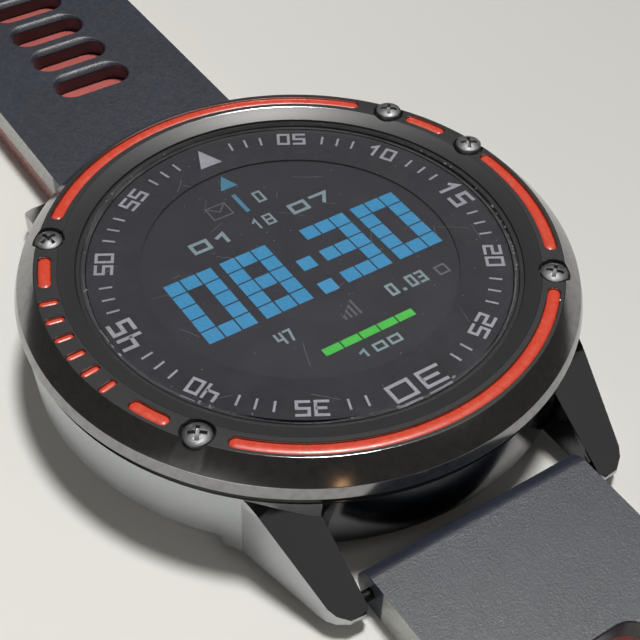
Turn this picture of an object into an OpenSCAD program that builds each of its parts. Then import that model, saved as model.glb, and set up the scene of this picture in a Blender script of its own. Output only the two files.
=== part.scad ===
// Round sports smartwatch, laid out flat with the dial up.
// Origin: centre of the case back, on the surface that the watch lies on.
// +X points to 3 o'clock, +Y to 12 o'clock and +Z out of the dial. All sizes are millimetres.

/* [Case] */
// Radius of the case at its top edge
case_r = 24.9; // [24.8:0.1:25.2]
// Radius of the case where its side ends at the bottom
case_foot_r = 24.5; // [24.3:0.1:24.6]
// Height of the case's top edge over the table
case_top_z = 8.25; // [8.2:0.05:8.3]
// Radius of the hollow inside the case
cavity_r = 21; // [20.9:0.05:21.1]

/* [Lugs] */
// Distance between the inner faces of a pair of lugs
lug_gap = 24; // [23.6:0.1:24.2]
// How far the lug tips reach from the middle of the watch
lug_tip_y = 28.7; // [28.6:0.1:29]
// Angle at which the lugs' tops slope down to their tips
lug_slope = 31; // [30:0.5:31.5]
// Distance of the spring bars from the middle of the watch
bar_y = 27.3; // [27.2:0.05:27.4]

/* [Bezel] */
// Widest radius of the bezel
bezel_r = 25.25; // [25.1:0.05:25.4]
// Height of the bezel's flat top over the table
bezel_top_z = 11.75; // [11.7:0.05:11.85]
// Outer radius of the flat top
plateau_r = 23.3; // [23.25:0.05:23.4]
// Inner radius of the flat top
plateau_in_r = 21.3; // [21.2:0.05:21.4]
// Radius of the middle of the red grooves
groove_r = 22.38; // [22.34:0.02:22.42]
// Width of the red grooves
groove_w = 1.15; // [1:0.05:1.2]
// Depth of the red grooves
groove_depth = 0.55; // [0.5:0.05:0.7]

/* [Crystal and display] */
// Radius of the glass over the dial
crystal_r = 19.4; // [19.3:0.05:19.5]
// Thickness of the glass
crystal_t = 1.2; // [1.1:0.1:1.3]
// Radius of the window for the screen in the printed dial plate
window_r = 14.2; // [13.8:0.1:14.6]

/* [Crown] */
// Diameter of the push crown's head
crown_d = 5.2; // [5:0.1:5.4]
// How far the crown travels when pressed
crown_travel = 0.5; // [0.4:0.05:0.5]

/* [Strap] */
// Width of the strap at the case
strap_w = 22; // [21.6:0.1:22.2]
// Width of the strap beyond the taper
strap_end_w = 20; // [19.6:0.1:20.2]
// Thickness of the 12 o'clock strap at the case
strap_12_t = 4.7; // [4.6:0.05:4.8]
// Thickness of the 6 o'clock strap at the case
strap_6_t = 3.7; // [3.65:0.05:3.8]
// Distance from the spring bar to the buckle's pin on the 12 o'clock strap
buckle_strap_l = 80.7; // [80:0.1:82]
// Distance from the spring bar to the tip of the 6 o'clock strap
tail_strap_l = 120; // [119:0.5:122]
// Pitch of the slots along the strap
slot_pitch = 5.65; // [5.6:0.05:5.8]
// Length of a slot across the strap
slot_l = 8.6; // [8:0.1:9]
// Width of a slot along the strap
slot_w = 3.8; // [3.6:0.1:3.9]

/* [Hidden] */
$fn = 96;
eps = 0.01;

// Heights of the parts that lie in a stack, from the table up
back_face_z = 0.9;
back_top_z = 1.9;
back_floor_z = 1.1;
board_z = 6.4;
board_t = 0.8;
frame_z = 7.4;
frame_plate_t = 0.7;
light_z = 8.2;
lcd_z = 9.1;
dial_z = 9.9;
dial_t = 0.16;
crystal_z = 10.1;

// Case and case back
case_foot_z = 2.2;
back_recess_r = 22.3;
back_r = 22.2;
back_platform_r = 16;
back_hollow_r = 15.4;
post_r = 1.8;
post_ring_r = 20;
back_screw_angles = [45, 135, 225, 315];
window_back_r = 4.5;
window_back_t = 0.6;

// Lugs
lug_base_z = 1;
lug_top_z = case_top_z - 0.15;
lug_bend_y = 18.5;
lug_bend_r = 6;
lug_root_y = 10;
lug_tip_t = 0.4;
lug_undercut_l = 2.2;
lug_out_near = [17.1, 18];
lug_out_tip = [15.1, 27.2];
lug_fillet_r = 5;

// Bezel
bezel_neck_r = 24.2;
bezel_skirt_z = 8.8;
bezel_band_z = 10;
bezel_ledge_r = 19;
bezel_seat_r = 19.82;
bezel_bore_r = 20.9;
// Clock angles, clockwise from 12 o'clock, of the five bezel screws
bezel_screw_angles = [56, 79.5, 128.5, 234, 306];
// Start and end clock angles of the red grooves
groove_spans = [[-45.8, 46.5], [62.3, 70.2], [85.7, 120], [135.5, 226], [241.8, 248.5], [291.3, 298.5]];
// Clock angles of the six short radial marks on the 9 o'clock side
mark_angles = [for (i = [0:5]) 256.5 + 5.7 * i];
groove_steps = 40;
mark_r = 22.35;
mark_l = 1.7;
mark_w = 0.7;
screw_recess_r = 1.45;
screw_recess_z = 11.1;
screw_head_r = 1.2;
// Heights of the screw heads, in the order of bezel_screw_angles
screw_head_heights = [1.2, 1.2, 0.75, 0.75, 0.75];
screw_dome_r = 2.6;
screw_cross = [1.6, 0.34, 0.6];
screw_shank_r = 0.65;
screw_tip_z = 5.6;

// Crown, on the 3 o'clock side
crown_z = 4.3;
crown_seat_x = 24.2;
crown_stem_r = 1.25;
crown_head_x = crown_seat_x + crown_travel + 0.4;
crown_head_l = 2.1;
crown_stem_end_x = 19.6;
crown_teeth = 24;

// Strap
bar_z = 1.9;
strap_flat_y = 58;
strap_ramp_y = 72;
strap_end_t = 3.2;
strap_lift = 1.3;
red_share = 0.45;
window_floor_z = 2.75;
red_start_12_y = 29.5;
red_start_6_y = 38;
slot_first_12_y = 42;
slot_first_6_y = 42.5;
slots_12 = 5;
slots_6 = 16;
tail_y = bar_y + tail_strap_l;
tail_tip_r = 12;
pin_y = bar_y + buckle_strap_l;
pin_z = strap_lift + strap_end_t / 2;
// Where the red layer of each strap starts and stops along y
red_12 = [red_start_12_y, pin_y - 5];
red_6 = [red_start_6_y, tail_y - 3];
spring_bar_r = 0.9;
bar_tip_r = 0.5;
bar_tip_in_x = 7.4;
bar_tip_out_x = 13.1;

// Keepers and buckle
keeper_wall = 1.2;
keeper_h = 8.9;
free_keeper_y = 86;
free_keeper_l = 4;
fixed_keeper_y = 97;
fixed_keeper_l = 5;
buckle_in_w = 21;
buckle_arm_w = 2.2;
buckle_reach = 11;
buckle_pin_r = 0.75;
frame_bar_r = 1.3;
tang_w = 6.5;
tang_slot_w = 7.2;

// Colours
black_metal = [0.05, 0.05, 0.06];
red = [0.85, 0.24, 0.17];
steel = [0.55, 0.55, 0.57];
dark_rubber = [0.25, 0.26, 0.29];

// ---------- helpers ----------

// Puts its children at a clock angle, clockwise from 12 o'clock, r from the middle
module at_clock(angle, r) {
    rotate([0, 0, -angle]) translate([0, r, 0]) children();
}

// Flat ring between two heights
module ring(r_in, r_out, z0, z1) {
    translate([0, 0, z0]) difference() {
        cylinder(r = r_out, h = z1 - z0);
        translate([0, 0, -1]) cylinder(r = r_in, h = z1 - z0 + 2);
    }
}

// Box centred on x and y
module slab(size, z0) {
    translate([-size[0] / 2, -size[1] / 2, z0]) cube(size);
}

// Bar with round ends, centred, long along x
module round_bar(l, w, h) {
    translate([-(l - w) / 2, -w / 2, 0]) cube([l - w, w, h]);
    for (x = [-(l - w) / 2, (l - w) / 2]) translate([x, 0, 0]) cylinder(d = w, h = h);
}

// Extrudes a y-z outline along x, from x = -w / 2 to w / 2
module across(w) {
    rotate([90, 0, 90]) translate([0, 0, -w / 2]) linear_extrude(height = w) children();
}

// Straight rod along x
module rod(r, x0, x1, y, z) {
    translate([x0, y, z]) rotate([0, 90, 0]) cylinder(r = r, h = x1 - x0);
}

// Point at a clock angle, r from the middle
function clock_point(angle, r) = r * [sin(angle), cos(angle)];

// Points along a circle about the middle, from one clock angle to another
function arc_points(r, from, to) =
    [for (i = [0:groove_steps]) clock_point(from + (to - from) * i / groove_steps, r)];

// Points round the end of a groove; side is 1 at its clockwise end and -1 at the other
function end_points(angle, side) =
    [for (i = [1:7]) clock_point(angle, groove_r) + side * clock_point(angle + 22.5 * i, groove_w / 2)];

// Curved bar with round ends that follows the bezel from one clock angle to another
module groove_bar(span, z0, z1) {
    translate([0, 0, z0]) linear_extrude(height = z1 - z0) polygon(concat(
        arc_points(groove_r + groove_w / 2, span[0], span[1]), end_points(span[1], 1),
        arc_points(groove_r - groove_w / 2, span[1], span[0]), end_points(span[0], -1)
    ));
}

// All red shapes of the bezel: the curved bars and the six short marks
module red_shapes(z0, z1) {
    for (span = groove_spans) groove_bar(span, z0, z1);
    for (angle = mark_angles) at_clock(angle, mark_r) rotate([0, 0, 90])
        translate([0, 0, z0]) round_bar(mark_l, mark_w, z1 - z0);
}

// ---------- case ----------

module case_ring() {
    rotate_extrude() polygon([
        [cavity_r, back_top_z], [back_recess_r, back_top_z], [back_recess_r, back_face_z],
        [back_recess_r + 0.8, back_face_z], [case_foot_r, case_foot_z],
        [case_r, case_top_z - 0.25], [case_r - 0.25, case_top_z], [cavity_r, case_top_z]
    ]);
}

// Side view of a lug: a level root, a short bend and a straight top that slopes down to a thin tip
module lug_side() {
    bend_steps = 8;
    bend_c = [lug_bend_y - lug_bend_r * tan(lug_slope / 2), lug_top_z - lug_bend_r];
    bend = [for (i = [0:bend_steps]) let (angle = 90 - lug_slope * i / bend_steps)
        bend_c + lug_bend_r * [cos(angle), sin(angle)]];
    tip_z = lug_top_z - (lug_tip_y - lug_bend_y) * tan(lug_slope);
    polygon(concat([[lug_root_y, lug_base_z], [lug_root_y, lug_top_z]], bend,
        [[lug_tip_y, tip_z], [lug_tip_y, tip_z - lug_tip_t],
        [lug_tip_y - lug_undercut_l, lug_base_z]]));
}

// Plan of a lug, with a concave round where it leaves the case
module lug_plan() {
    along = (lug_out_tip - lug_out_near) / norm(lug_out_tip - lug_out_near);
    outward = [along[1], -along[0]];
    line_d = outward * lug_out_near + lug_fillet_r;
    centre_r = case_foot_r + lug_fillet_r;
    fillet_c = outward * line_d + along * sqrt(centre_r * centre_r - line_d * line_d);
    difference() {
        polygon([
            [lug_gap / 2, 12], [lug_gap / 2, lug_tip_y - 0.4], [lug_gap / 2 + 0.4, lug_tip_y],
            [lug_out_tip[0] - 1.3, lug_tip_y - 0.1], [lug_out_tip[0] - 0.4, lug_out_tip[1] + 0.7],
            lug_out_tip, lug_out_near, [fillet_c[0] * case_foot_r / centre_r, lug_out_near[1]],
            [fillet_c[0] * case_foot_r / centre_r, 12]
        ]);
        translate(fillet_c) circle(r = lug_fillet_r);
    }
}

module lug() {
    intersection() {
        across(50) lug_side();
        linear_extrude(height = case_top_z) lug_plan();
    }
}

module four_lugs() {
    for (turn = [0, 180]) rotate([0, 0, turn]) {
        lug();
        mirror([1, 0, 0]) lug();
    }
}

module case_body() {
    color(black_metal) difference() {
        union() {
            case_ring();
            difference() {
                four_lugs();
                cylinder(r = case_foot_r - 1, h = case_top_z + 1);
            }
            for (angle = back_screw_angles) at_clock(angle, post_ring_r)
                translate([0, 0, back_top_z]) cylinder(r = post_r, h = board_z - back_top_z);
        }
        for (angle = back_screw_angles) at_clock(angle, post_ring_r)
            translate([0, 0, back_top_z - eps]) cylinder(r = 0.72, h = 3.6);
        for (angle = bezel_screw_angles) at_clock(angle, groove_r)
            translate([0, 0, screw_tip_z - 0.2]) cylinder(r = screw_shank_r + 0.02, h = 4);
        for (side = [-1, 1]) rod(bar_tip_r + 0.05, -13.3, 13.3, side * bar_y, bar_z);
        rod(crown_d / 2 + 0.3, crown_seat_x, 30, 0, crown_z);
        rod(crown_stem_r + 0.05, 18, 26, 0, crown_z);
        rod(1.9, 18, 23, 0, crown_z);
    }
}

module caseback() {
    color(black_metal) difference() {
        rotate_extrude() polygon([
            [0, 0], [back_platform_r - 0.4, 0], [back_platform_r, 0.4], [back_platform_r + 1, back_face_z],
            [back_r, back_face_z], [back_r, back_top_z - 0.05], [back_hollow_r + 0.4, back_top_z - 0.05],
            [back_hollow_r, back_floor_z], [0, back_floor_z]
        ]);
        translate([0, 0, -1]) cylinder(r = window_back_r - 0.5, h = 4);
        translate([0, 0, -1]) cylinder(r = window_back_r, h = 1 + window_back_t);
        ring(21.15, 21.95, back_top_z - 0.45, 3);
        for (x = [-2, 2]) translate([x, -12.2, -1]) cylinder(r = 1.05, h = 4);
        for (angle = back_screw_angles) at_clock(angle, post_ring_r) {
            cylinder(r = 0.8, h = 3);
            cylinder(r = 1.25, h = back_face_z + 0.35);
        }
    }
}

module caseback_gasket() {
    color("dimgray") ring(21.2, 21.9, back_top_z - 0.43, back_top_z);
}

// Countersunk-looking pan screw that points up: head at z = 0, shank towards +Z
module back_screw() {
    difference() {
        union() {
            cylinder(r = 1.15, h = 0.6);
            cylinder(r = 0.7, h = 4);
        }
        for (turn = [0, 90]) rotate([0, 0, turn]) slab([1.4, 0.3, 0.8], -0.5);
    }
}

module caseback_screws() {
    color(steel) for (angle = back_screw_angles) at_clock(angle, post_ring_r)
        translate([0, 0, back_face_z - 0.3 + 0.05]) back_screw();
}

module sensor_window() {
    color([0.1, 0.05, 0.08]) cylinder(r = window_back_r - 0.02, h = window_back_t - 0.02);
}

module charging_contacts() {
    color("gold") for (x = [-2, 2]) translate([x, -12.2, 0]) {
        cylinder(r = 1, h = 2.2);
    }
}

// ---------- bezel and glass ----------

module bezel() {
    color([0.09, 0.09, 0.1]) difference() {
        rotate_extrude() polygon([
            [bezel_bore_r, case_top_z], [bezel_neck_r, case_top_z], [bezel_neck_r, bezel_skirt_z],
            [bezel_r - 0.2, bezel_skirt_z], [bezel_r, bezel_skirt_z + 0.2], [bezel_r - 0.3, bezel_band_z],
            [plateau_r, bezel_top_z], [plateau_in_r, bezel_top_z],
            [bezel_seat_r, crystal_z + crystal_t - 0.1], [bezel_seat_r, crystal_z],
            [bezel_ledge_r, crystal_z], [bezel_ledge_r, 9.4], [bezel_bore_r, 9.4]
        ]);
        red_shapes(bezel_top_z - groove_depth, bezel_top_z + 1);
        for (angle = bezel_screw_angles) at_clock(angle, groove_r) {
            translate([0, 0, case_top_z - 1]) cylinder(r = 0.8, h = 5);
            translate([0, 0, screw_recess_z]) cylinder(r = screw_recess_r, h = 2);
        }
    }
}

module bezel_inlays() {
    color(red) red_shapes(bezel_top_z - groove_depth, bezel_top_z - 0.08);
}

// Domed cross-head screw: head on z = 0, shank towards -Z
module bezel_screw(head_h) {
    difference() {
        union() {
            intersection() {
                cylinder(r = screw_head_r, h = head_h);
                translate([0, 0, head_h - screw_dome_r]) sphere(r = screw_dome_r);
            }
            translate([0, 0, screw_tip_z - screw_recess_z])
                cylinder(r = screw_shank_r, h = screw_recess_z - screw_tip_z + eps);
        }
        for (turn = [0, 90]) rotate([0, 0, turn]) slab(screw_cross, head_h - 0.5);
    }
}

module bezel_screws() {
    color([0.3, 0.3, 0.31]) for (i = [0:len(bezel_screw_angles) - 1])
        at_clock(bezel_screw_angles[i], groove_r)
            translate([0, 0, screw_recess_z]) rotate([0, 0, 17 + 31 * i])
                bezel_screw(screw_head_heights[i]);
}

module crystal() {
    color([0.5, 0.55, 0.6, 0.35]) translate([0, 0, crystal_z]) rotate_extrude() polygon([
        [0, 0], [crystal_r, 0], [crystal_r, crystal_t - 0.2], [crystal_r - 0.2, crystal_t], [0, crystal_t]
    ]);
}

module crystal_gasket() {
    color("black") ring(crystal_r + 0.02, bezel_seat_r - 0.02, crystal_z, crystal_z + crystal_t - 0.25);
}

// ---------- display and electronics ----------

module dial_plate() {
    color([0.16, 0.16, 0.18]) ring(window_r, bezel_ledge_r - 0.1, dial_z, dial_z + dial_t);
}

module lcd_panel() {
    color([0.2, 0.2, 0.23]) translate([0, 0, lcd_z]) cylinder(r = 16.4, h = dial_z - lcd_z);
}

module backlight() {
    color("white") translate([0, 0, light_z]) cylinder(r = 16.2, h = lcd_z - light_z - 0.05);
}

// Round tray with a raised rim that carries the screen, and a foot ring that stands on the board
module display_frame() {
    color([0.15, 0.15, 0.17]) difference() {
        union() {
            ring(12, 20.6, frame_z, frame_z + frame_plate_t);
            ring(16.7, 18.8, frame_z, dial_z - 0.05);
            ring(19.5, 20.4, board_z + board_t, frame_z + eps);
        }
        translate([-4.5, -22, frame_z - 0.5]) cube([9, 5.6, 4]);
    }
}

// Ribbon from the edge of the screen down to the board
module display_flex() {
    color("orange") {
        translate([-3.5, -19.2, board_z + board_t]) cube([7, 0.2, 2.1]);
        translate([-3.5, -19.2, lcd_z + 0.1]) cube([7, 2.75, 0.2]);
    }
}

module main_board() {
    color("darkgreen") translate([0, 0, board_z]) difference() {
        cylinder(r = 20.5, h = board_t);
        for (x = [-9, 9]) translate([x, 15.5, -1]) cylinder(r = 0.8, h = 3);
    }
}

// Packages under the board: processor, memory, radio can, power chip and motion sensor
module board_chips() {
    chips = [[0, 3, 6, 6], [-7, 3, 4, 5], [8, 4, 6, 5], [-5, -5, 3, 3], [3, -5, 2.5, 3]];
    color([0.1, 0.1, 0.1]) for (chip = chips) translate([chip[0], chip[1], 0])
        slab([chip[2], chip[3], 0.9], board_z - 0.9);
}

module battery() {
    color("silver") slab([25, 21, 3.3], 2);
}

module sensor_board() {
    color("darkgreen") translate([0, 0, back_floor_z]) cylinder(r = 6, h = 0.45);
}

module sensor_leds() {
    color("limegreen") for (x = [-1.8, 0, 1.8]) translate([x, 0, 0])
        slab([1.1, 1.4, 0.45], back_floor_z - 0.45);
}

// Small cylindrical vibration motor, with its shaft along y
module motor_can() {
    color(steel) translate([-17.4, -5.5, 3.9]) rotate([-90, 0, 0]) difference() {
        cylinder(r = 2, h = 6.5);
        translate([0, 0, 4]) cylinder(r = 0.45, h = 3);
    }
}

module motor_weight() {
    color("darkgray") translate([-17.4, -1.4, 3.9]) rotate([-90, 0, 0]) {
        cylinder(r = 0.4, h = 5.6);
        translate([0, 0, 2.6]) difference() {
            cylinder(r = 1.7, h = 3);
            translate([-2, -2.45, -1]) cube([4, 2, 5]);
        }
    }
}

// ---------- crown ----------

module crown() {
    color([0.12, 0.12, 0.13]) {
        difference() {
            rod(crown_d / 2, crown_head_x, crown_head_x + crown_head_l, 0, crown_z);
            for (i = [0:crown_teeth - 1]) translate([0, 0, crown_z]) rotate([360 / crown_teeth * i, 0, 0])
                rod(0.2, crown_head_x + 0.4, crown_head_x + crown_head_l + 1, 0, crown_d / 2 + 0.02);
        }
        rod(crown_stem_r, crown_stem_end_x, crown_head_x + 0.1, 0, crown_z);
    }
}

// Seal in the counterbore round the stem
module crown_seal() {
    color("black") difference() {
        rod(1.85, 21.7, 22.95, 0, crown_z);
        rod(crown_stem_r + 0.03, 21, 24, 0, crown_z);
    }
}

// Clip on the inner end of the stem that stops it from pulling out
module crown_clip() {
    color(steel) difference() {
        rod(2.05, 20.1, 20.5, 0, crown_z);
        rod(crown_stem_r, 20, 21, 0, crown_z);
    }
}

module crown_switch() {
    color([0.2, 0.2, 0.2]) translate([17.6, -2, 3.6]) cube([1.4, 4, board_z - 3.6]);
}

// ---------- strap ----------

// Plan of a strap, from the spring bar out to end_y
module strap_plan(end_y) {
    polygon([
        [-strap_w / 2, bar_y - 4], [-strap_w / 2, strap_flat_y], [-strap_end_w / 2, strap_ramp_y],
        [-strap_end_w / 2, end_y], [strap_end_w / 2, end_y], [strap_end_w / 2, strap_ramp_y],
        [strap_w / 2, strap_flat_y], [strap_w / 2, bar_y - 4]
    ]);
}

// Side view of the dark upper layer, t thick at the case, with a round nose over the spring bar.
// red is where the red layer starts and stops along y; lift is how high the strap's underside
// lies beyond the ramp.
module upper_side(t, red, end_y, lift) {
    flat_red = t * red_share;
    end_red = lift + strap_end_t * red_share;
    translate([bar_y, t / 2]) circle(r = t / 2);
    polygon([
        [bar_y, 0], [red[0], 0], [red[0], flat_red], [strap_flat_y, flat_red],
        [strap_ramp_y, end_red], [red[1], end_red], [red[1], lift], [end_y, lift],
        [end_y, lift + strap_end_t], [strap_ramp_y, lift + strap_end_t],
        [strap_flat_y, t], [bar_y, t]
    ]);
}

// Side view of the red lower layer
module lower_side(t, red, lift) {
    flat_red = t * red_share;
    end_red = lift + strap_end_t * red_share;
    polygon([
        [red[0], 0], [strap_flat_y, 0], [strap_ramp_y, lift], [red[1], lift],
        [red[1], end_red], [strap_ramp_y, end_red], [strap_flat_y, flat_red], [red[0], flat_red]
    ]);
}

// Bars in a row along the strap. With shrink above 0 they stand in the slots with that much play.
module slots(first_y, count, z0 = -1, z1 = 10, shrink = 0) {
    for (i = [0:count - 1]) translate([0, first_y + i * slot_pitch, z0])
        round_bar(slot_l - 2 * shrink, slot_w - 2 * shrink, z1 - z0);
}

module strap_12_upper() {
    color(dark_rubber) difference() {
        union() {
            intersection() {
                linear_extrude(height = 10) strap_plan(pin_y);
                across(strap_w) upper_side(strap_12_t, red_12, pin_y, strap_lift);
            }
            rod(strap_end_t / 2, -strap_end_w / 2, strap_end_w / 2, pin_y, pin_z);
        }
        slots(slot_first_12_y, slots_12);
        rod(spring_bar_r + 0.05, -20, 20, bar_y, bar_z);
        rod(buckle_pin_r + 0.05, -20, 20, pin_y, pin_z);
        translate([-tang_slot_w / 2, pin_y - 2.6, 0]) cube([tang_slot_w, 10, 10]);
    }
}

// Closes the dark layer's windows from below, with a raised pad in each
module strap_12_lower() {
    color(red) {
        intersection() {
            linear_extrude(height = 10) strap_plan(pin_y);
            across(strap_w) lower_side(strap_12_t, red_12, strap_lift);
        }
        slots(slot_first_12_y, slots_12, 1, window_floor_z, 0.02);
    }
}

// Plan that rounds the tip of the 6 o'clock strap
module tail_plan() {
    intersection() {
        strap_plan(tail_y);
        union() {
            translate([-strap_w, 0]) square([2 * strap_w, tail_y - tail_tip_r]);
            translate([0, tail_y - tail_tip_r]) circle(r = tail_tip_r);
        }
    }
}

module strap_6_upper() {
    color(dark_rubber) rotate([0, 0, 180]) difference() {
        intersection() {
            linear_extrude(height = 10) tail_plan();
            across(strap_w) upper_side(strap_6_t, red_6, tail_y + 1, 0);
        }
        slots(slot_first_6_y, slots_6);
        rod(spring_bar_r + 0.05, -20, 20, bar_y, bar_z);
    }
}

module strap_6_lower() {
    color(red) rotate([0, 0, 180]) difference() {
        intersection() {
            linear_extrude(height = 10) tail_plan();
            across(strap_w) lower_side(strap_6_t, red_6, 0);
        }
        slots(slot_first_6_y, slots_6);
    }
}

// ---------- spring bars ----------

module spring_bar(side) {
    color(steel) difference() {
        rod(spring_bar_r, -strap_w / 2, strap_w / 2, side * bar_y, bar_z);
        rod(bar_tip_r + 0.05, -20, 20, side * bar_y, bar_z);
    }
}

module bar_tip(side, hand) {
    color(steel) rotate([0, 0, hand > 0 ? 0 : 180])
        rod(bar_tip_r, bar_tip_in_x, bar_tip_out_x, side * hand * bar_y, bar_z);
}

module spring_bar_12() { spring_bar(1); }
module spring_bar_6() { spring_bar(-1); }
module bar_tip_12_left() { bar_tip(1, -1); }
module bar_tip_12_right() { bar_tip(1, 1); }
module bar_tip_6_left() { bar_tip(-1, -1); }
module bar_tip_6_right() { bar_tip(-1, 1); }

// ---------- keepers and buckle ----------

// Rectangular loop round the strap, standing on the table
module keeper(y, l, floor_t) {
    out_w = strap_end_w + 4;
    color(dark_rubber) translate([0, y, 0]) difference() {
        slab([out_w, l, keeper_h], 0);
        slab([out_w - 2 * keeper_wall, l + 2, keeper_h - keeper_wall - floor_t], floor_t);
    }
}

module fixed_keeper() { keeper(fixed_keeper_y, fixed_keeper_l, strap_lift); }
module free_keeper() { keeper(free_keeper_y, free_keeper_l, strap_lift - 0.1); }

// Side view of a buckle arm: round ends joined by a sloping bar
module arm_side() {
    front = [pin_y + buckle_reach, frame_bar_r];
    back = [pin_y, pin_z];
    slope = atan2(front[1] - back[1], front[0] - back[0]);
    translate(back) circle(r = 1.6);
    translate(front) circle(r = frame_bar_r);
    translate(back) rotate(slope) translate([0, -frame_bar_r]) square([norm(front - back), 2 * frame_bar_r]);
}

module buckle_frame() {
    out_w = buckle_in_w + 2 * buckle_arm_w;
    color(steel) difference() {
        union() {
            difference() {
                across(out_w) arm_side();
                slab([buckle_in_w, 400, 20], -5);
            }
            rod(frame_bar_r, -out_w / 2, out_w / 2, pin_y + buckle_reach, frame_bar_r);
        }
        rod(buckle_pin_r, 1.4 - out_w / 2, out_w / 2 - 1.4, pin_y, pin_z);
    }
}

module buckle_pin() {
    half = buckle_in_w / 2 + buckle_arm_w - 1.4;
    color(steel) rod(buckle_pin_r, -half, half, pin_y, pin_z);
}

// Wide flat tang with a hub on the pin, resting on the frame's front bar
module buckle_tang() {
    color(steel) difference() {
        union() {
            rod(1.5, -tang_w / 2, tang_w / 2, pin_y, pin_z);
            across(tang_w) translate([pin_y, pin_z])
                polygon([[0, -0.2], [0, 1.3], [12.4, 0.7], [12.8, 0.4], [12.6, -0.15]]);
        }
        rod(buckle_pin_r + 0.05, -20, 20, pin_y, pin_z);
    }
}

// ---------- assembly ----------

case_body();
bezel();
bezel_inlays();
bezel_screws();
crystal();
crystal_gasket();
dial_plate();
lcd_panel();
backlight();
display_frame();
display_flex();
main_board();
board_chips();
battery();
sensor_board();
sensor_leds();
sensor_window();
motor_can();
motor_weight();
caseback();
caseback_gasket();
caseback_screws();
charging_contacts();
crown();
crown_seal();
crown_clip();
crown_switch();
strap_12_upper();
strap_12_lower();
strap_6_upper();
strap_6_lower();
spring_bar_12();
spring_bar_6();
bar_tip_12_left();
bar_tip_12_right();
bar_tip_6_left();
bar_tip_6_right();
fixed_keeper();
free_keeper();
buckle_frame();
buckle_pin();
buckle_tang();
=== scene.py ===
"""Looks of the round sports smartwatch: finishes, printed dial, lit screen and moulded strap.

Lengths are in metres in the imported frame: +X is 3 o'clock, +Y is 12 o'clock and +Z points out
of the dial. Helper functions take millimetres where their names or comments say so.
"""

import math
import random

import bmesh
import bpy
from mathutils import Matrix, Vector


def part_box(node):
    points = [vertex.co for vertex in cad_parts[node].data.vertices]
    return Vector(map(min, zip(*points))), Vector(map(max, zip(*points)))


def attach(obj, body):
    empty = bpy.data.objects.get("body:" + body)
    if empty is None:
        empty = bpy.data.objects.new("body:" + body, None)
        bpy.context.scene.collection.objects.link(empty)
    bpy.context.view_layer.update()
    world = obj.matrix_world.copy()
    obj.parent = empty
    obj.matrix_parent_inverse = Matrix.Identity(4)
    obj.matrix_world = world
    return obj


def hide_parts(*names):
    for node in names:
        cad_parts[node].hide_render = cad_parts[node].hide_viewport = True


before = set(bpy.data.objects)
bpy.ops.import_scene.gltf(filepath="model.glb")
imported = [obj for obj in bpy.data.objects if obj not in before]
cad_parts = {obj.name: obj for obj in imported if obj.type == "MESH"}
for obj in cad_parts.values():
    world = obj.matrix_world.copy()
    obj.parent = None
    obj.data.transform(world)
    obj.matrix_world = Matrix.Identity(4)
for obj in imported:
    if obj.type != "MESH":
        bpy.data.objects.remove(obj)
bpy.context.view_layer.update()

MM = 0.001
PALE = (0.88, 0.875, 0.85)
FLOOR_SIZE = 6  # metres

# Brightness of the room's walls, then heading, elevation, half width and brightness of each glow
ROOM_DIM = 0.06
GLOWS = ((240, -12, 46, 1.9), (137, 48, 22, 0.5), (40, 82, 26, 0.25))
ROOM_COLOUR = (1.03, 0.98, 0.91)

# Camera: the point it looks at and its distance from it in millimetres, then angles in degrees
AIM, AIM_DISTANCE = (-2.68, -7.13, 10.6), 112.6
VIEW_HEADING, VIEW_ELEVATION, VIEW_ROLL = 35.34, -45.33, 2.335
LENS, SENSOR = 74.5, 36

# Where painted reflection, highlight and shade sit on the case and the strap, which also bounds the
# smoother walls, in millimetres
LUG_INNER_X, LUG_TIP_Y = 12.1, 28.8
LEDGE_Z = (8.11, 8.4)
STRAP_WALL_X = 9.6


# ---------- camera, light and floor ----------


def heading_vector(heading, elevation):
    """Unit vector at a compass heading, clockwise from +Y, and an elevation, in degrees."""
    h, e = math.radians(heading), math.radians(elevation)
    return Vector((math.sin(h) * math.cos(e), math.cos(h) * math.cos(e), math.sin(e)))


def make_camera():
    """The photograph's view."""
    aim = Vector(AIM) * MM
    forward = heading_vector(VIEW_HEADING, VIEW_ELEVATION)
    data = bpy.data.cameras.new("view_camera")
    data.lens, data.sensor_width = LENS, SENSOR
    data.clip_start, data.clip_end = 0.005, 20
    camera = bpy.data.objects.new("view_camera", data)
    bpy.context.scene.collection.objects.link(camera)
    level = forward.to_track_quat("-Z", "Y").to_matrix()
    rolled = level @ Matrix.Rotation(math.radians(VIEW_ROLL), 3, "Z")
    camera.matrix_world = Matrix.Translation(aim - forward * AIM_DISTANCE * MM) @ rolled.to_4x4()
    bpy.context.scene.camera = camera


def make_sun(name, heading, elevation, strength, angle, colour):
    """Sunlight from a heading and elevation. angle is how wide the source looks, in degrees."""
    data = bpy.data.lights.new(name, "SUN")
    data.energy, data.angle, data.color = strength, math.radians(angle), colour
    lamp = bpy.data.objects.new(name, data)
    lamp.rotation_mode = "QUATERNION"
    lamp.rotation_quaternion = (-heading_vector(heading, elevation)).to_track_quat("-Z", "Y")
    bpy.context.scene.collection.objects.link(lamp)


def make_area(name, heading, elevation, distance, size, watts, colour):
    """Round lamp that faces the origin. distance and size are in metres."""
    data = bpy.data.lights.new(name, "AREA")
    data.shape, data.size, data.energy, data.color = "DISK", size, watts, colour
    lamp = bpy.data.objects.new(name, data)
    towards = heading_vector(heading, elevation)
    lamp.location = towards * distance
    lamp.rotation_mode = "QUATERNION"
    lamp.rotation_quaternion = (-towards).to_track_quat("-Z", "Y")
    bpy.context.scene.collection.objects.link(lamp)


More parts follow.
